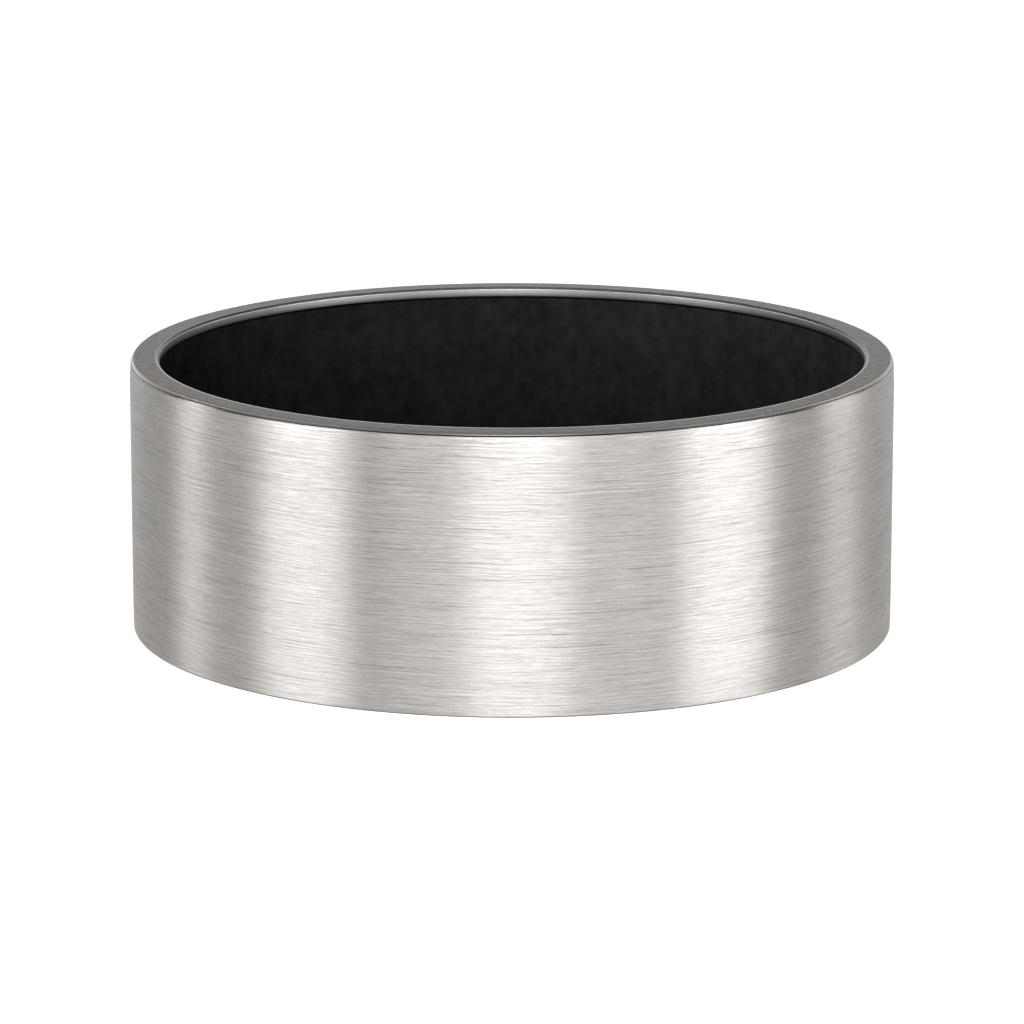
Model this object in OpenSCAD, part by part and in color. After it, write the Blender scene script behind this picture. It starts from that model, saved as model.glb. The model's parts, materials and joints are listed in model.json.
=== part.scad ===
// Flat-sided finger ring: a brushed metal band with a black liner set into its bore.
// The axis is +Z. The origin is on the axis, in the plane of the lower rim, which the ring rests on.

/* [Size] */
// Ring size on the North American scale, which sets the bore
ring_size = 11; // [4:0.5:16]
// Width of the band along the finger
band_w = 8; // [4:0.5:12]
// Thickness of the band's wall, from the bore to the outer face
wall_t = 0.85; // [0.8:0.05:2.4]

/* [Edges] */
// How far the outer bevel cuts into the rim, towards the axis
outer_bevel_in = 0.09; // [0.05:0.01:0.2]
// How far the outer bevel runs up the outer face
outer_bevel_up = 0.08; // [0.05:0.01:0.2]
// Size of the bevel between the rim and the bore
inner_bevel = 0.06; // [0.03:0.01:0.1]

/* [Liner] */
// Thickness of the liner
liner_t = 0.3; // [0.25:0.05:0.4]
// Width of the bare metal lip between each rim and the liner
lip_w = 0.28; // [0.2:0.02:0.6]
// Clearance round the liner in its channel
seat_gap = 0.02; // [0.01:0.01:0.05]
// Size of the bevel on the liner's ends, which leaves a fine groove beside each lip
liner_bevel = 0.08; // [0.04:0.01:0.1]

/* [Hidden] */
$fn = 180;

// Bore diameter of size 0, and what each whole size adds to it
SIZE_0_D = 11.63;
SIZE_STEP_D = 0.8128;

finger_r = (SIZE_0_D + SIZE_STEP_D * ring_size) / 2;
outer_r = finger_r + wall_t;
liner_r = finger_r + liner_t;
channel_r = liner_r + seat_gap;
channel_w = band_w - 2 * lip_w;
liner_w = channel_w - 2 * seat_gap;

// Half of a wall's section, from its lower end up to mid-width. Points are [radius, height].
function band_half() = [
    [finger_r, inner_bevel],
    [finger_r + inner_bevel, 0],
    [outer_r - outer_bevel_in, 0],
    [outer_r, outer_bevel_up]
];

function liner_half() = [
    [finger_r, liner_bevel],
    [finger_r + liner_bevel, 0],
    [liner_r - liner_bevel, 0],
    [liner_r, liner_bevel]
];

// The same points at the other end of a wall of width w, in turning order
function other_end(points, w) = [
    for (i = [len(points) - 1 : -1 : 0]) [points[i][0], w - points[i][1]]
];

// A wall of width w, turned about Z from half of its section
module turned(half, w) {
    rotate_extrude() polygon(concat(half, other_end(half, w)));
}

// The channel that the liner sits in
module channel() {
    translate([0, 0, lip_w]) cylinder(r = channel_r, h = channel_w);
}

// Brushed band: flat outer face, flat rims, bevelled edges and a lip at each end of the bore
module band() {
    color("silver") difference() {
        turned(band_half(), band_w);
        channel();
    }
}

// Black sleeve that fills the channel and meets the finger
module liner() {
    color("black") translate([0, 0, lip_w + seat_gap]) turned(liner_half(), liner_w);
}

band();
liner();
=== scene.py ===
"""Finger ring: a brushed metal band with a black liner in its bore, lying on its rim on a pale floor.

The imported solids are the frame. Each piece here stands for one of them, in metres, on the same axis (+Z).
"""

import json
import math

import bmesh
import bpy
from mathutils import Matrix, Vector


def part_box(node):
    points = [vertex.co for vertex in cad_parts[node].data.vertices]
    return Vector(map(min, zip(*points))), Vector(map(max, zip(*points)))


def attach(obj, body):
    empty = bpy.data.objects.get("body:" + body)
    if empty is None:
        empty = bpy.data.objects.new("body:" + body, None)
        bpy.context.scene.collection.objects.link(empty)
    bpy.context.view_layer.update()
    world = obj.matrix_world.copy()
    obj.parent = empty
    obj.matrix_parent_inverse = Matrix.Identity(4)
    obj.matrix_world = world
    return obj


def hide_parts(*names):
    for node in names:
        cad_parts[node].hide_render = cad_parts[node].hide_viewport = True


bl_info = {
    "name": "Lined Band Ring",
    "version": (1, 0, 0),
    "blender": (4, 5, 0),
    "location": "3D View > Sidebar > Ring",
    "description": "Makes a flat-sided brushed metal finger ring with a black liner, and a studio for it",
    "category": "Add Mesh",
}

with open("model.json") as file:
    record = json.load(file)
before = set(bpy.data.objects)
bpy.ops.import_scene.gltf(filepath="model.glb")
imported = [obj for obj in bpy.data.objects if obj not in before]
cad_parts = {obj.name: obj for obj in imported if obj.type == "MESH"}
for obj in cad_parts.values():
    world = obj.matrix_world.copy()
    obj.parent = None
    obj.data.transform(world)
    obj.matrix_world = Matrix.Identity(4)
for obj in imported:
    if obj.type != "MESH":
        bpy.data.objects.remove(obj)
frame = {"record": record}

MM = 0.001
BAND_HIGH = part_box("band")[1]
LINER_LOW, LINER_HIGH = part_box("liner")
MOUNTS = {mount["name"]: mount for mount in frame["record"]["mounts"]}

OUTER_R = BAND_HIGH[0]
BAND_W = BAND_HIGH[2]
BORE_R = MOUNTS["finger_bore"]["dims"]["r_mm"] * MM
LINER_R = LINER_HIGH[0]
LINER_Z = (LINER_LOW[2], LINER_HIGH[2])

# Material slots of the band
FACE, RIM, BEVEL, LIP, EDGE, EASED, SHOULDER, INNER, SOFT = range(9)

# Corners between the outer bevel's three facets: how far in from the face and how far from the rim each
# lies, as shares of the bevel's two sizes
FACET_CORNERS = ((0.64, 0.42), (0.30, 0.58))
# Reach of the smallest roundings
FINE = 0.01 * MM
# Slope of the burnished line, which dips towards the bore
BRIGHT_EDGE_DIP = math.radians(3.0)

# Brush marks: even lines that a swell bends, with their share of the marks' height
LINE_PITCH = 0.087 * MM
LINE_SHARE = 0.16
SWELL_CELLS = (900.0, 900.0, 6000.0)
SWELL_STRENGTH = 10.0
# Hairs, short dashes and long strands between them: cells per metre along X, Y and Z, and share of the height
MARK_LAYERS = (
    ((1100.0, 1100.0, 27000.0), 0.36),
    ((3600.0, 3600.0, 31000.0), 0.34),
    ((200.0, 200.0, 24000.0), 0.28),
)
# How much the marks' height shades the metal
MARK_CONTRAST = 0.39
# A few single scratches: cells per metre, and where the noise makes them dark and bright
STREAK_CELLS = (420.0, 420.0, 31000.0)
DARK_STREAKS = (0.67, 0.79)
BRIGHT_STREAKS = (0.32, 0.18)

# Painted shade on the bare lip: how far from the rim its colour starts to darken towards the liner's groove,
# and the share of its colour it ends with
LIP_SHADE_START = 0.12 * MM
LIP_SHADE_DARKEST = 0.15

# Brightness of the room, of the ceiling and of the pale horizon behind the ring, as the ring mirrors them
ROOM, CEILING, HORIZON = 0.03, 0.22, 0.95
# Parts of a direction between which the ceiling and the horizon fade in or out
CEILING_FADE = (0.64, 0.8)
HORIZON_TOP_FADE = (0.11, 0.26)
HORIZON_SIDE_FADE = (0.76, 0.90)
# Brightness of the backdrop and glow of the floor, for the camera alone
BACKDROP, FLOOR_GLOW = 0.95, 0.62
# Azimuth to either side, in degrees, beyond which the lights are a little warm
WARM_FROM = 85.0
WARM = (1.0, 0.98, 0.955)
# Azimuth to the right, in degrees, beyond which the lights leave the liner dark
OFF_LINER_FROM = 45.0
# From the ring's foot to each light, in metres
LIGHT_DISTANCE = 0.4

# Lights: name, azimuth with the camera's side as 0, lowest and highest elevation, and width, all in degrees,
# and brightness
SOFTBOXES = (
    ("front_softbox", 1.0, 3.0, 24.0, 28.0, 8.4),
    ("right_fill", 29.5, 3.0, 24.0, 29.0, 3.25),
    ("left_fill", -26.0, 3.0, 24.0, 24.0, 3.15),
    ("right_softbox", 65.0, 3.0, 24.0, 29.0, 8.0),
    ("left_softbox", -63.5, 3.0, 24.0, 28.0, 7.3),
    ("right_side_softbox", 114.0, 3.0, 24.0, 17.0, 4.2),
    ("left_side_softbox", -109.0, 3.0, 24.0, 11.0, 6.4),
    ("right_back_softbox", 140.0, 3.0, 24.0, 34.0, 0.62),
    ("left_back_softbox", -145.0, 3.0, 24.0, 36.0, 0.7),
    ("right_gap_fill", 93.0, 3.0, 24.0, 20.0, 0.5),
    ("left_gap_fill", -91.0, 3.0, 24.0, 22.0, 0.55),
    ("right_top_softbox", 90.0, 38.0, 56.0, 40.0, 0.2),
    ("left_top_softbox", -90.0, 38.0, 56.0, 40.0, 0.2),
    ("right_edge_fill", 65.0, 26.0, 38.0, 50.0, 0.6),
    ("left_edge_fill", -65.0, 26.0, 38.0, 50.0, 0.6),
    ("back_softbox", 180.0, 66.0, 88.0, 12.0, 2.0),
)


class RingBand(bpy.types.PropertyGroup):
    """Sizes and finish of the metal band"""

    outer_radius: bpy.props.FloatProperty(
        name="Outer radius",
        description="Radius of the brushed outer face",
        default=OUTER_R,
        unit="LENGTH",
        precision=5,
    )
    bore_radius: bpy.props.FloatProperty(
        name="Bore radius",
        description="Radius of the lips at each end of the bore",
        default=BORE_R,
        unit="LENGTH",
        precision=5,
    )
    width: bpy.props.FloatProperty(
        name="Width",
        description="Width of the band along the finger",
        default=BAND_W,
        unit="LENGTH",
        precision=5,
    )
    outer_bevel_in: bpy.props.FloatProperty(
        name="Outer bevel, in",
        description="How far the outer bevel cuts into the rim",
        default=0.115 * MM,
        unit="LENGTH",
        precision=5,
    )
    outer_bevel_up: bpy.props.FloatProperty(
        name="Outer bevel, up",
        description="How far the outer bevel runs along the outer face",
        default=0.118 * MM,
        unit="LENGTH",
        precision=5,
    )
    roll_off: bpy.props.FloatProperty(
        name="Roll-off",
        description="How much smaller the outer face is at its edges, where it curves gently inwards",
        default=0.03 * MM,
        unit="LENGTH",
        precision=5,
    )
    roll_off_width: bpy.props.FloatProperty(
        name="Roll-off width",
        description="How far from the rim the outer face starts to curve inwards",
        default=0.5 * MM,
        unit="LENGTH",
        precision=5,
    )
    shoulder: bpy.props.FloatProperty(
        name="Shoulder",
        description="How far the rounding between the outer bevel and the outer face reaches",
        default=0.016 * MM,
        unit="LENGTH",
        precision=5,
    )
    lower_share: bpy.props.FloatProperty(
        name="Lower end",
        description="Size of the lower end's outer bevel and roll-off, as a share of the upper end's",
        default=0.35,
        min=0.1,
        max=1.0,
    )
    inner_bevel: bpy.props.FloatProperty(
        name="Inner bevel",
        description="Size of the bevel between the rim and the bore",
        default=0.055 * MM,
        unit="LENGTH",
        precision=5,
    )
    bright_edge: bpy.props.FloatProperty(
        name="Bright edge",
        description="Width of the burnished line where the rim meets the inner bevel",
        default=0.05 * MM,
        unit="LENGTH",
        precision=5,
    )
    lip_width: bpy.props.FloatProperty(
        name="Lip width",
        description="Width of the bare metal lip between the rim and the liner",
        default=0.28 * MM,
        unit="LENGTH",
        precision=5,
    )
    seat_gap: bpy.props.FloatProperty(
        name="Seat gap",
        description="Clearance round the liner in its channel",
        default=0.02 * MM,
        unit="LENGTH",
        precision=5,
    )
    metal: bpy.props.FloatVectorProperty(
        name="Metal colour",
        description="Colour of the bare metal",
        default=(0.522, 0.503, 0.489),
        subtype="COLOR",
        min=0.0,
        max=1.0,
    )
    rim_metal: bpy.props.FloatVectorProperty(
        name="Rim colour",
        description="Colour of the satin rims",
        default=(0.500, 0.454, 0.422),
        subtype="COLOR",
        min=0.0,
        max=1.0,
    )
    # Near white, far paler than the bare metal: the burnished line's highlight is painted into its colour,
    # though the line is also smoother than the rim
    edge_highlight_colour: bpy.props.FloatVectorProperty(
        name="Edge colour",
        description="Colour of the burnished line at the inner edge of the rims",
        default=(0.93, 0.91, 0.89),
        subtype="COLOR",
        min=0.0,
        max=1.0,
    )


class RingLiner(bpy.types.PropertyGroup):
    """Sizes and finish of the black liner"""

    radius: bpy.props.FloatProperty(
        name="Outer radius",
        description="Radius of the liner's hidden outer wall",
        default=LINER_R,
        unit="LENGTH",
        precision=5,
    )
    end_bevel: bpy.props.FloatProperty(
        name="End bevel",
        description="Size of the bevel on the liner's ends",
        default=0.03 * MM,
        unit="LENGTH",
        precision=5,
    )
    groove: bpy.props.FloatProperty(
        name="Groove",
        description="Dark groove between the lip and the liner, at each end",
        default=0.04 * MM,
        unit="LENGTH",
        precision=5,
    )
    black: bpy.props.FloatVectorProperty(
        name="Liner colour",
        description="Colour of the matte liner",
        default=(0.0142, 0.0142, 0.0143),
        subtype="COLOR",
        min=0.0,
        max=1.0,
    )


class RingStudio(bpy.types.PropertyGroup):
    """Camera, floor and lights"""

    distance: bpy.props.FloatProperty(
        name="Camera distance",
        description="From the middle of the ring to the camera",
        default=158.3 * MM,
        unit="LENGTH",
        precision=5,
    )
    elevation: bpy.props.FloatProperty(
        name="Camera elevation",
        description="Angle of the camera above the ring's middle plane",
        default=math.radians(12.82),
        subtype="ANGLE",
    )
    tilt: bpy.props.FloatProperty(
        name="Camera tilt",
        description="How far below the horizontal the camera looks",
        default=math.radians(13.09),
        subtype="ANGLE",
    )
    lens: bpy.props.FloatProperty(
        name="Lens",
        description="Focal length in millimetres on a 36 mm wide sensor",
        default=189.69,
    )
    floor_colour: bpy.props.FloatVectorProperty(
        name="Floor colour",
        description="Colour of the pale floor",
        default=(0.9, 0.9, 0.9),
        subtype="COLOR",
        min=0.0,
        max=1.0,
    )


def side_steps():
    """Faces round the ring."""
    return 384


def with_supports(corners, sizes, near):
    """The section's corners, with two further points on each long side, just past the roundings at its ends.

    They hold the flats flat once the corners are rounded.
    """
    points = []
    for number, here in enumerate(corners):
        after = (number + 1) % len(corners)
        start, end = Vector(here), Vector(corners[after])
        run = (end - start).normalized()
        margins = near + sizes[number], near + sizes[after]
        points.append(start)
        if (end - start).length > 1.3 * sum(margins):
            points += [start + run * margins[0], end - run * margins[1]]
    return points


def turned_wall(section, sizes, sides, arcs, near, steps):
    """A bmesh of a wall turned about Z from a closed section.

    sizes gives how far each corner's rounding reaches along its two sides, sides the material of the side
    that follows each corner, and arcs the material of each rounding.
    """
    bm = bmesh.new()
    verts = [bm.verts.new((r, 0.0, z)) for r, z in with_supports(section.corners, sizes, near)]
    edges = [bm.edges.new(pair) for pair in zip(verts, verts[1:] + verts[:1])]
    bmesh.ops.spin(
        bm,
        geom=verts + edges,
        cent=(0.0, 0.0, 0.0),
        axis=(0.0, 0.0, 1.0),
        dvec=(0.0, 0.0, 0.0),
        angle=2 * math.pi,
        steps=steps,
        use_merge=True,
    )
    bmesh.ops.remove_doubles(bm, verts=bm.verts, dist=1e-7)
    bmesh.ops.recalc_face_normals(bm, faces=bm.faces)
    for face in bm.faces:
        face.material_index = sides[section.nearest(face.calc_center_median())[0]]
    for (r, z), size, arc in zip(section.corners, sizes, arcs):
        if size > 0.0:
            circle = [e for e in bm.edges if all(is_at(v.co, r, z) for v in e.verts)]
            bmesh.ops.bevel(
                bm,
                geom=circle,
                offset=size,
                offset_type="OFFSET",
                segments=6,
                profile=0.5,
                affect="EDGES",
                material=arc,
                clamp_overlap=True,
            )
    return bm


def is_at(place, radius, height):
    """Whether a point lies on the circle of that radius and height."""
    return abs(math.hypot(place.x, place.y) - radius) < 1e-6 and abs(place.z - height) < 1e-6


class Section:
    """The closed outline that a wall is turned from, as (radius, height) corners."""

    def __init__(self, corners):
        self.corners = corners
        self.sides = list(zip(corners, corners[1:] + corners[:1]))
        self.starts = [0.0]
        for here, there in self.sides:
            self.starts.append(self.starts[-1] + (Vector(there) - Vector(here)).length)

    def nearest(self, place):
        """The number of the side nearest to a point in space, and the share of the outline up to there."""
        point = Vector((math.hypot(place.x, place.y), place.z))
        best = (math.inf, 0, 0.0)
        for number, (here, there) in enumerate(self.sides):
            run = Vector(there) - Vector(here)
            share = max(0.0, min(1.0, (point - Vector(here)).dot(run) / run.length_squared))
            off = (Vector(here) + run * share - point).length
            if off < best[0] - 1e-9:
                best = (off, number, (self.starts[number] + share * run.length) / self.starts[-1])
        return best[1], best[2]


def lay_out(bm, section):
    """A UV map: U runs round the ring, and V along the section from its first corner."""
    layer = bm.loops.layers.uv.new("OFBake")
    runs = {v: section.nearest(v.co)[1] for v in bm.verts}
    for face in bm.faces:
        middle = face.calc_center_median()
        turn = math.atan2(middle.y, middle.x)
        ends = [runs[loop.vert] for loop in face.loops]
        wraps = max(ends) - min(ends) > 0.5
        for loop in face.loops:
            at = loop.vert.co
            u = math.atan2(at.y, at.x)
            if u - turn > math.pi:
                u -= 2 * math.pi
            if turn - u > math.pi:
                u += 2 * math.pi
            v = runs[loop.vert]
            if wraps and v < 0.5:
                v += 1.0
            loop[layer].uv = (0.5 + u / (2 * math.pi), v)


def to_object(bm, name, body, node, materials):
    """A finished piece from a bmesh, riding on a body and standing for a node."""
    mesh = bpy.data.meshes.new(name)
    for face in bm.faces:
        face.smooth = True
    bm.to_mesh(mesh)
    bm.free()
    for material in materials:
        mesh.materials.append(material)
    piece = bpy.data.objects.new(name, mesh)
    bpy.context.scene.collection.objects.link(piece)
    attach(piece, body)
    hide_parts(node)
    return piece


class Tree:
    """Short ways to add and join nodes in one node tree."""

    def __init__(self, tree):
        self.tree = tree

    def add(self, kind, values=None, **settings):
        """A node of that kind. values fills its sockets, from other nodes too, and settings its options."""
        node = self.tree.nodes.new(kind)
        for name, value in settings.items():
            setattr(node, name, value)
        for name, value in (values or {}).items():
            if isinstance(value, bpy.types.NodeSocket):
                self.tree.links.new(value, node.inputs[name])
            else:
                node.inputs[name].default_value = value
        return node

    def math(self, operation, first, second=0.0, third=0.0):
        """The result of a sum on up to three values or sockets."""
        node = self.tree.nodes.new("ShaderNodeMath")
        node.operation = operation
        for socket, value in zip(node.inputs, (first, second, third)):
            if isinstance(value, bpy.types.NodeSocket):
                self.tree.links.new(value, socket)
            else:
                socket.default_value = value
        return node.outputs[0]

    def spread(self, value, low, high, to_low, to_high, clamp=True):
        """The value with low..high turned into to_low..to_high."""
        limits = {"From Min": low, "From Max": high, "To Min": to_low, "To Max": to_high}
        node = self.add("ShaderNodeMapRange", limits)
        node.clamp = clamp
        self.tree.links.new(value, node.inputs["Value"])
        return node.outputs["Result"]

    def noise(self, vector, scale, detail=2.0, roughness=0.5):
        """Noise between 0 and 1, with scale as its cells per metre."""
        values = {"Vector": vector, "Scale": scale, "Detail": detail, "Roughness": roughness}
        return self.add("ShaderNodeTexNoise", values).outputs["Fac"]

    def stretched_noise(self, vector, cells):
        """Plain noise with that many cells per metre along each axis."""
        stretched = self.add("ShaderNodeMapping", {"Vector": vector, "Scale": cells}).outputs["Vector"]
        return self.noise(stretched, 1.0, 0.0)

    def blend(self, first, second, share):
        """The first value with a share of the second one."""
        rest = self.math("MULTIPLY", first, 1.0 - share)
        return self.math("ADD", rest, self.math("MULTIPLY", second, share))

    def tinted(self, colour, value):
        """A colour times a value."""
        node = self.add("ShaderNodeVectorMath", {0: tuple(colour)}, operation="SCALE")
        self.tree.links.new(value, node.inputs["Scale"])
        return node.outputs["Vector"]


def times(share, colour):
    """A share of a colour."""
    return [share * part for part in colour]


def new_group(name, sockets):
    """An empty shader node group with (name, kind, in or out, value) sockets, its tree and its two ends."""
    group = bpy.data.node_groups.new(name, "ShaderNodeTree")
    for label, kind, way, value in sockets:
        socket = group.interface.new_socket(name=label, in_out=way, socket_type=kind)
        if value is not None:
            socket.default_value = value
    return group, Tree(group), group.nodes.new("NodeGroupInput"), group.nodes.new("NodeGroupOutput")


def brush_marks_group():
    """Hairline marks round the ring: a height about 0.5, and a shade about 1."""
    name = "Brush marks"
    if name in bpy.data.node_groups:
        return bpy.data.node_groups[name]
    group, t, start, end = new_group(
        name,
        [
            ("Vector", "NodeSocketVector", "INPUT", None),
            ("Waviness", "NodeSocketFloat", "INPUT", 0.08 * MM),
            ("Height", "NodeSocketFloat", "OUTPUT", None),
            ("Shade", "NodeSocketFloat", "OUTPUT", None),
        ],
    )
    place = start.outputs["Vector"]
    sway = t.noise(place, 700.0)
    lift = t.math("MULTIPLY", t.math("SUBTRACT", sway, 0.5), start.outputs["Waviness"])
    rise = t.add("ShaderNodeCombineXYZ", {"Z": lift}).outputs[0]
    wavy = t.add("ShaderNodeVectorMath", {0: place, 1: rise}, operation="ADD").outputs[0]
    swell = t.math("MULTIPLY", t.stretched_noise(wavy, SWELL_CELLS), SWELL_STRENGTH)
    up = t.add("ShaderNodeSeparateXYZ", {"Vector": wavy}).outputs["Z"]
    turns = t.math("MULTIPLY_ADD", up, 2 * math.pi / LINE_PITCH, swell)
    lines = t.math("MULTIPLY_ADD", t.math("SINE", turns), 0.5, 0.5)
    layers = [(lines, LINE_SHARE)]
    layers += [(t.stretched_noise(wavy, cells), share) for cells, share in MARK_LAYERS]
    height = 0.5
    for layer, share in layers:
        height = t.math("ADD", height, t.math("MULTIPLY", t.math("SUBTRACT", layer, 0.5), share))
    streaks = t.stretched_noise(wavy, STREAK_CELLS)
    dark = t.spread(streaks, *DARK_STREAKS, 0.0, 1.0)
    bright = t.spread(streaks, *BRIGHT_STREAKS, 0.0, 1.0)
    grain = t.math("SUBTRACT", t.noise(place, 30000.0, 1.0), 0.5)
    shade = t.spread(height, 0.0, 1.0, 1.0 - MARK_CONTRAST, 1.0 + MARK_CONTRAST, clamp=False)
    for layer, share in ((dark, -0.24), (bright, 0.1), (grain, 0.25)):
        shade = t.math("ADD", shade, t.math("MULTIPLY", layer, share))
    group.links.new(height, end.inputs["Height"])
    group.links.new(shade, end.inputs["Shade"])
    return group


def metal_grain_group():
    """A fine speckle in bare metal: a height and a shade, both about 0.5."""
    name = "Metal grain"
    if name in bpy.data.node_groups:
        return bpy.data.node_groups[name]
    group, t, start, end = new_group(
        name,
        [
            ("Vector", "NodeSocketVector", "INPUT", None),
            ("Grain size", "NodeSocketFloat", "INPUT", 0.05 * MM),
            ("Height", "NodeSocketFloat", "OUTPUT", None),
            ("Shade", "NodeSocketFloat", "OUTPUT", None),
        ],
    )
    place = start.outputs["Vector"]
    per_metre = t.math("DIVIDE", 1.0, start.outputs["Grain size"])
    grain = t.noise(place, per_metre, 2.0, 0.6)
    patch = t.noise(place, t.math("MULTIPLY", per_metre, 0.2))
    shade = t.blend(grain, patch, 0.5)
    group.links.new(grain, end.inputs["Height"])
    group.links.new(shade, end.inputs["Shade"])
    return group


def new_material(name):
    """A material with its tree and its Principled shader."""
    material = bpy.data.materials.new(name)
    material.use_nodes = True
    material.node_tree.nodes.clear()
    t = Tree(material.node_tree)
    shader = t.add("ShaderNodeBsdfPrincipled")
    out = t.add("ShaderNodeOutputMaterial")
    material.node_tree.links.new(shader.outputs["BSDF"], out.inputs["Surface"])
    return material, t, shader


def brushed_metal(name, colour, relief, contrast):
    """Metal with hairlines round the ring, which spread each light up and down into a column.

    relief is the marks' depth in metres, and contrast how much of their shade shows.
    """
    material, t, shader = new_material(name)
    links = material.node_tree.links
    place = t.add("ShaderNodeTexCoord").outputs["Object"]
    marks = t.add("ShaderNodeGroup", node_tree=brush_marks_group())
    links.new(place, marks.inputs["Vector"])
    shade = t.spread(marks.outputs["Shade"], 0.0, 1.0, 1.0 - contrast, 1.0, clamp=False)
    links.new(t.tinted(colour, shade), shader.inputs["Base Color"])
    links.new(t.spread(marks.outputs["Shade"], 0.85, 1.15, 0.46, 0.38), shader.inputs["Roughness"])
    shader.inputs["Metallic"].default_value = 1.0
    shader.inputs["Anisotropic"].default_value = 0.9
    shader.inputs["Anisotropic Rotation"].default_value = 0.25
    tangent = t.add("ShaderNodeTangent", direction_type="RADIAL", axis="Z")
    links.new(tangent.outputs["Tangent"], shader.inputs["Tangent"])
    bump = t.add("ShaderNodeBump", {"Strength": 1.0, "Distance": relief, "Height": marks.outputs["Height"]})
    links.new(bump.outputs["Normal"], shader.inputs["Normal"])
    return material


def satin_metal(name, colour, roughness, speckle, grain_size):
    """Bare metal with a fine speckle, as on the rims, the bevels and the lips.

    speckle is how much the shade varies. The roughness and the relief vary with it.
    """
    material, t, shader = new_material(name)
    links = material.node_tree.links
    place = t.add("ShaderNodeTexCoord").outputs["Object"]
    grain = t.add("ShaderNodeGroup", {"Grain size": grain_size}, node_tree=metal_grain_group())
    links.new(place, grain.inputs["Vector"])
    shade = t.spread(grain.outputs["Shade"], 0.3, 0.7, 1.0 - speckle, 1.0 + speckle)
    links.new(t.tinted(colour, shade), shader.inputs["Base Color"])
    play = 0.11 * speckle
    sheen = t.spread(grain.outputs["Shade"], 0.3, 0.7, roughness + play, roughness - play)
    links.new(sheen, shader.inputs["Roughness"])
    shader.inputs["Metallic"].default_value = 1.0
    relief = 0.0016 * MM * speckle
    bump = t.add("ShaderNodeBump", {"Strength": 1.0, "Distance": relief, "Height": grain.outputs["Height"]})
    links.new(bump.outputs["Normal"], shader.inputs["Normal"])
    return material, t, shader


def bare_lip(sizes):
    """The lips: satin metal whose colour darkens towards the liner's groove, a painted shade."""
    material, t, shader = satin_metal(
        "Bare lip with painted shade",
        sizes.metal,
        roughness=0.38,
        speckle=0.1,
        grain_size=0.06 * MM,
    )
    # Painted shade: the lip's colour darkens from the rim towards the liner's groove
    place = t.add("ShaderNodeTexCoord").outputs["Object"]
    height = t.add("ShaderNodeSeparateXYZ", {"Vector": place}).outputs["Z"]
    from_rim = t.math("MINIMUM", height, t.math("SUBTRACT", sizes.width, height))
    painted_shade = t.spread(from_rim, LIP_SHADE_START, sizes.lip_width, 1.0, LIP_SHADE_DARKEST)
    speckled = shader.inputs["Base Color"].links[0].from_socket
    shaded_colour = t.add("ShaderNodeVectorMath", {0: speckled}, operation="SCALE")
    t.tree.links.new(painted_shade, shaded_colour.inputs["Scale"])
    t.tree.links.new(shaded_colour.outputs["Vector"], shader.inputs["Base Color"])
    return material


def matte_liner(sizes):
    """The liner: matte black with a faint mottle."""
    material, t, shader = new_material("Matte liner")
    links = material.node_tree.links
    place = t.add("ShaderNodeTexCoord").outputs["Object"]
    mottle = t.noise(place, 2600.0, 3.0, 0.6)
    cloud = t.noise(place, 700.0)
    both = t.blend(mottle, cloud, 0.4)
    links.new(t.tinted(sizes.black, t.spread(both, 0.3, 0.7, 0.5, 1.5)), shader.inputs["Base Color"])
    links.new(t.spread(both, 0.3, 0.7, 0.86, 0.74), shader.inputs["Roughness"])
    shader.inputs["Metallic"].default_value = 0.0
    shader.inputs["Specular IOR Level"].default_value = 0.05
    bump = t.add("ShaderNodeBump", {"Strength": 1.0, "Distance": 0.004 * MM, "Height": mottle})
    links.new(bump.outputs["Normal"], shader.inputs["Normal"])
    return material


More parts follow.
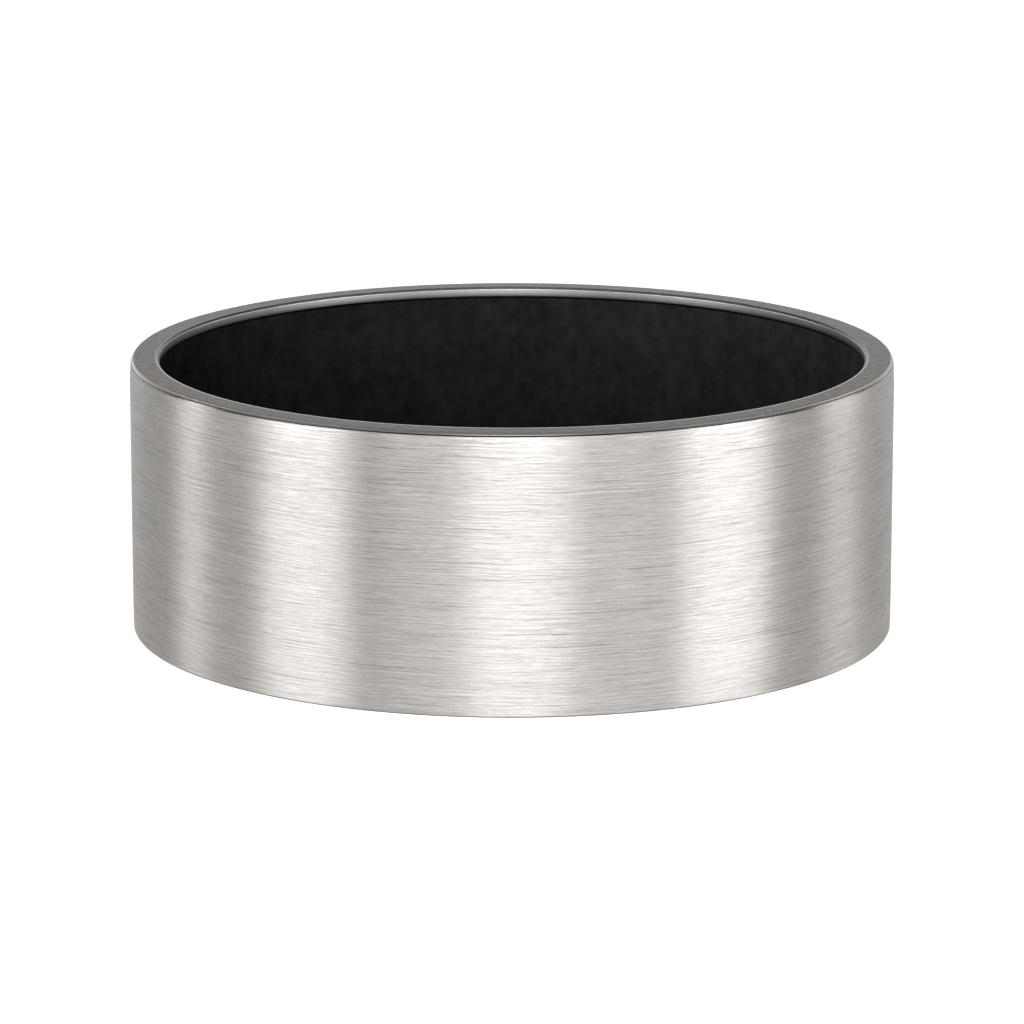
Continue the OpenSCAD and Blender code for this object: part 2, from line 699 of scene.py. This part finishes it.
class RING_OT_make_band(bpy.types.Operator):
    """Make the metal band with its brushed face, satin rims, bevels and lips"""

    bl_idname = "ring.make_band"
    bl_label = "Make the band"

    def execute(self, context):
        s = context.scene.ring_band
        liner = context.scene.ring_liner
        lower = self.half_section(s, liner.radius + s.seat_gap, s.lower_share)
        upper = self.half_section(s, liner.radius + s.seat_gap, 1.0)[::-1]
        corners = [row[:2] for row in lower] + [(r, s.width - z) for r, z, *rest in upper]
        sizes = [row[2] for row in lower + upper]
        arcs = [row[3] for row in lower + upper]
        sides = [row[4] for row in lower] + [row[4] for row in upper[1:]] + [LIP]
        section = Section(corners)
        bm = turned_wall(section, sizes, sides, arcs, FINE, side_steps())
        lay_out(bm, section)
        finishes = self.finishes(s)
        in_order = [finishes[slot] for slot in sorted(finishes)]
        to_object(bm, "band_metal", "root", "band", in_order)
        return {"FINISHED"}

    @staticmethod
    def finishes(s):
        """The band's materials by slot."""
        found = {
            FACE: brushed_metal("Brushed metal", s.metal, relief=0.0042 * MM, contrast=1.0),
            LIP: bare_lip(s),
            # The shoulder's colour is a darker copy of the brushed metal: painted shade
            SHOULDER: brushed_metal(
                "Brushed shoulder with painted shade",
                times(0.85, s.metal),
                relief=0.0002 * MM,
                contrast=0.3,
            ),
        }
        # The colours are shares of the bare metal's. The darker copies on the polished, inner and soft bevels
        # are painted shade, and the near-white burnished edge and the slightly paler eased edge are painted
        # highlight
        # Name, colour, roughness, speckle and grain size
        for slot, *finish in (
            (RIM, "Satin rim", s.rim_metal, 0.27, 0.3, 0.05 * MM),
            (BEVEL, "Polished bevel", times(0.2, s.metal), 0.17, 0.04, 0.08 * MM),
            (EDGE, "Burnished edge", s.edge_highlight_colour, 0.16, 0.04, 0.08 * MM),
            (EASED, "Eased edge", times(1.05, s.metal), 0.28, 0.04, 0.08 * MM),
            (INNER, "Inner bevel", times(0.5, s.metal), 0.35, 0.04, 0.08 * MM),
            (SOFT, "Soft bevel", times(0.66, s.metal), 0.38, 0.04, 0.08 * MM),
        ):
            found[slot] = satin_metal(*finish)[0]
        return found

    @staticmethod
    def half_section(s, channel_r, share):
        """One end of the section, from the channel round to the outer face.

        Each row is radius, distance from the rim, reach and finish of the corner's rounding, and finish of
        the side that follows. share scales the outer bevel and the roll-off.
        """
        bore, outer = s.bore_radius, s.outer_radius
        dish = s.bright_edge * math.tan(BRIGHT_EDGE_DIP)
        edge_r = outer - share * s.roll_off
        cut, up = share * (s.outer_bevel_in - s.roll_off), share * s.outer_bevel_up
        (in_1, up_1), (in_2, up_2) = FACET_CORNERS
        return [
            (channel_r, s.lip_width, 0.0, LIP, LIP),
            (bore, s.lip_width, FINE, LIP, LIP),
            (bore, s.inner_bevel + dish, FINE, LIP, INNER),
            (bore + s.inner_bevel, dish, 0.6 * FINE, INNER, EDGE),
            (bore + s.inner_bevel + s.bright_edge, 0.0, 0.0, RIM, RIM),
            (edge_r - cut, 0.0, FINE * share, SOFT, SOFT),
            (edge_r - in_1 * cut, up_1 * up, 0.5 * FINE * share, EASED, EASED),
            (edge_r - in_2 * cut, up_2 * up, 0.5 * FINE * share, EASED, BEVEL),
            (edge_r, up, s.shoulder * share, SHOULDER, FACE),
            (outer, s.roll_off_width, 0.6 * s.roll_off_width, FACE, FACE),
        ]


class RING_OT_make_liner(bpy.types.Operator):
    """Make the matte black liner that fills the bore between the lips"""

    bl_idname = "ring.make_liner"
    bl_label = "Make the liner"

    def execute(self, context):
        s = context.scene.ring_liner
        bore = context.scene.ring_band.bore_radius
        low, high = LINER_Z[0] + s.groove, LINER_Z[1] - s.groove
        bevel = s.end_bevel
        corners = [
            (s.radius, high - bevel),
            (s.radius, low + bevel),
            (s.radius - bevel, low),
            (bore + bevel, low),
            (bore, low + bevel),
            (bore, high - bevel),
            (bore + bevel, high),
            (s.radius - bevel, high),
        ]
        # Only the corners near the bore are rounded, as the others can't be seen
        sizes = [FINE if r < s.radius - 1.5 * bevel else 0.0 for r, z in corners]
        section = Section(corners)
        one_finish = [0] * len(corners)
        bm = turned_wall(section, sizes, one_finish, one_finish, 3 * FINE, side_steps())
        lay_out(bm, section)
        to_object(bm, "liner_sleeve", "root", "liner", [matte_liner(s)])
        return {"FINISHED"}


class RING_OT_set_stage(bpy.types.Operator):
    """Set the camera, the pale floor, the surroundings and the soft lights"""

    bl_idname = "ring.set_stage"
    bl_label = "Set the stage"

    def execute(self, context):
        s = context.scene.ring_studio
        self.set_camera(context, s)
        self.set_floor(context, s)
        self.set_surroundings(context)
        for softbox in SOFTBOXES:
            self.add_softbox(context, *softbox)
        context.scene.view_settings.view_transform = "Standard"
        return {"FINISHED"}

    @staticmethod
    def towards(azimuth, elevation, distance):
        """A place round the ring. Azimuth 0 is the camera's side, and angles are in degrees."""
        a, e = math.radians(azimuth), math.radians(elevation)
        return Vector((math.sin(a) * math.cos(e), -math.cos(a) * math.cos(e), math.sin(e))) * distance

    def set_camera(self, context, s):
        """The camera, at the photograph's angle but above the ring."""
        data = bpy.data.cameras.new("camera")
        data.sensor_width = 36.0
        data.lens = s.lens
        data.clip_start = 0.01
        data.clip_end = 10.0
        camera = bpy.data.objects.new("camera", data)
        middle = Vector((0.0, 0.0, BAND_W / 2))
        camera.location = middle + self.towards(0.0, math.degrees(s.elevation), s.distance)
        camera.rotation_euler = (math.radians(90.0) - s.tilt, 0.0, 0.0)
        context.scene.collection.objects.link(camera)
        context.scene.camera = camera

    def set_floor(self, context, s):
        """A plain pale floor, which glows for the camera alone so that it meets the backdrop."""
        bm = bmesh.new()
        bmesh.ops.create_grid(bm, x_segments=1, y_segments=1, size=1.0)
        mesh = bpy.data.meshes.new("floor")
        bm.to_mesh(mesh)
        bm.free()
        floor = bpy.data.objects.new("floor", mesh)
        context.scene.collection.objects.link(floor)
        material, t, shader = new_material("Pale floor")
        shader.inputs["Base Color"].default_value = (*s.floor_colour, 1.0)
        shader.inputs["Roughness"].default_value = 0.9
        shader.inputs["Specular IOR Level"].default_value = 0.1
        shader.inputs["Emission Color"].default_value = (1.0, 1.0, 1.0, 1.0)
        seen = t.add("ShaderNodeLightPath").outputs["Is Camera Ray"]
        t.tree.links.new(t.math("MULTIPLY", seen, FLOOR_GLOW), shader.inputs["Emission Strength"])
        mesh.materials.append(material)

    def set_surroundings(self, context):
        """A dim room with a grey ceiling and a pale horizon behind the ring.

        The camera sees a plain backdrop.
        """
        world = bpy.data.worlds.new("Studio")
        context.scene.world = world
        world.use_nodes = True
        tree = world.node_tree
        tree.nodes.clear()
        t = Tree(tree)
        way = t.add("ShaderNodeTexCoord").outputs["Generated"]
        parts = t.add("ShaderNodeSeparateXYZ", {"Vector": way}).outputs
        behind = t.spread(parts["Y"], *HORIZON_SIDE_FADE, 0.0, 1.0)
        horizon = t.math("MULTIPLY", behind, t.spread(parts["Z"], *HORIZON_TOP_FADE, HORIZON, 0.0))
        ceiling = t.spread(parts["Z"], *CEILING_FADE, ROOM, CEILING)
        room = t.math("ADD", horizon, ceiling)
        seen = t.add("ShaderNodeLightPath").outputs["Is Camera Ray"]
        level = t.math("MAXIMUM", room, t.math("MULTIPLY", seen, BACKDROP))
        back = t.add("ShaderNodeBackground", {"Color": (1.0, 1.0, 1.0, 1.0), "Strength": level})
        out = t.add("ShaderNodeOutputWorld")
        tree.links.new(back.outputs["Background"], out.inputs["Surface"])

    @staticmethod
    def all_but_liner():
        """A collection that keeps a light off the liner, so that the bore stays dark at its sides."""
        name = "All but the liner"
        if name not in bpy.data.collections:
            collection = bpy.data.collections.new(name)
            collection.objects.link(bpy.data.objects["liner_sleeve"])
            collection.collection_objects[0].light_linking.link_state = "EXCLUDE"
        return bpy.data.collections[name]

    def add_softbox(self, context, name, azimuth, low, high, width, strength):
        """An area light that covers these elevations and this width in degrees, with the given brightness."""
        middle = (low + high) / 2
        data = bpy.data.lights.new(name, "AREA")
        data.shape = "RECTANGLE"
        data.size = 2 * LIGHT_DISTANCE * math.tan(math.radians(width / 2))
        data.size_y = 2 * LIGHT_DISTANCE * math.tan(math.radians((high - low) / 2))
        data.energy = strength * math.pi * data.size * data.size_y
        if abs(azimuth) > WARM_FROM:
            data.color = WARM
        light = bpy.data.objects.new(name, data)
        light.location = self.towards(azimuth, middle, LIGHT_DISTANCE)
        light.rotation_euler = (-light.location).to_track_quat("-Z", "Y").to_euler()
        light.visible_camera = False
        context.scene.collection.objects.link(light)
        if azimuth > OFF_LINER_FROM:
            light.light_linking.receiver_collection = self.all_but_liner()


class RING_PT_panel(bpy.types.Panel):
    """Lists the ring's sizes and steps"""

    bl_idname = "RING_PT_panel"
    bl_label = "Lined band ring"
    bl_space_type = "VIEW_3D"
    bl_region_type = "UI"
    bl_category = "Ring"

    def draw(self, context):
        layout = self.layout
        for group, steps in (
            (context.scene.ring_band, ("ring.make_band",)),
            (context.scene.ring_liner, ("ring.make_liner",)),
            (context.scene.ring_studio, ("ring.set_stage",)),
        ):
            box = layout.box()
            for name in group.bl_rna.properties.keys():
                if name not in ("rna_type", "name"):
                    box.prop(group, name)
            for step in steps:
                box.operator(step)


CLASSES = (
    RingBand,
    RingLiner,
    RingStudio,
    RING_OT_make_band,
    RING_OT_make_liner,
    RING_OT_set_stage,
    RING_PT_panel,
)


def register():
    for cls in CLASSES:
        bpy.utils.register_class(cls)
    bpy.types.Scene.ring_band = bpy.props.PointerProperty(type=RingBand)
    bpy.types.Scene.ring_liner = bpy.props.PointerProperty(type=RingLiner)
    bpy.types.Scene.ring_studio = bpy.props.PointerProperty(type=RingStudio)


def unregister():
    del bpy.types.Scene.ring_studio
    del bpy.types.Scene.ring_liner
    del bpy.types.Scene.ring_band
    for cls in reversed(CLASSES):
        bpy.utils.unregister_class(cls)


def main():
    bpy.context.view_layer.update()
    register()
    bpy.ops.ring.make_band()
    bpy.ops.ring.make_liner()
    bpy.ops.ring.set_stage()
    bpy.context.view_layer.update()


if __name__ == "__main__":
    main()
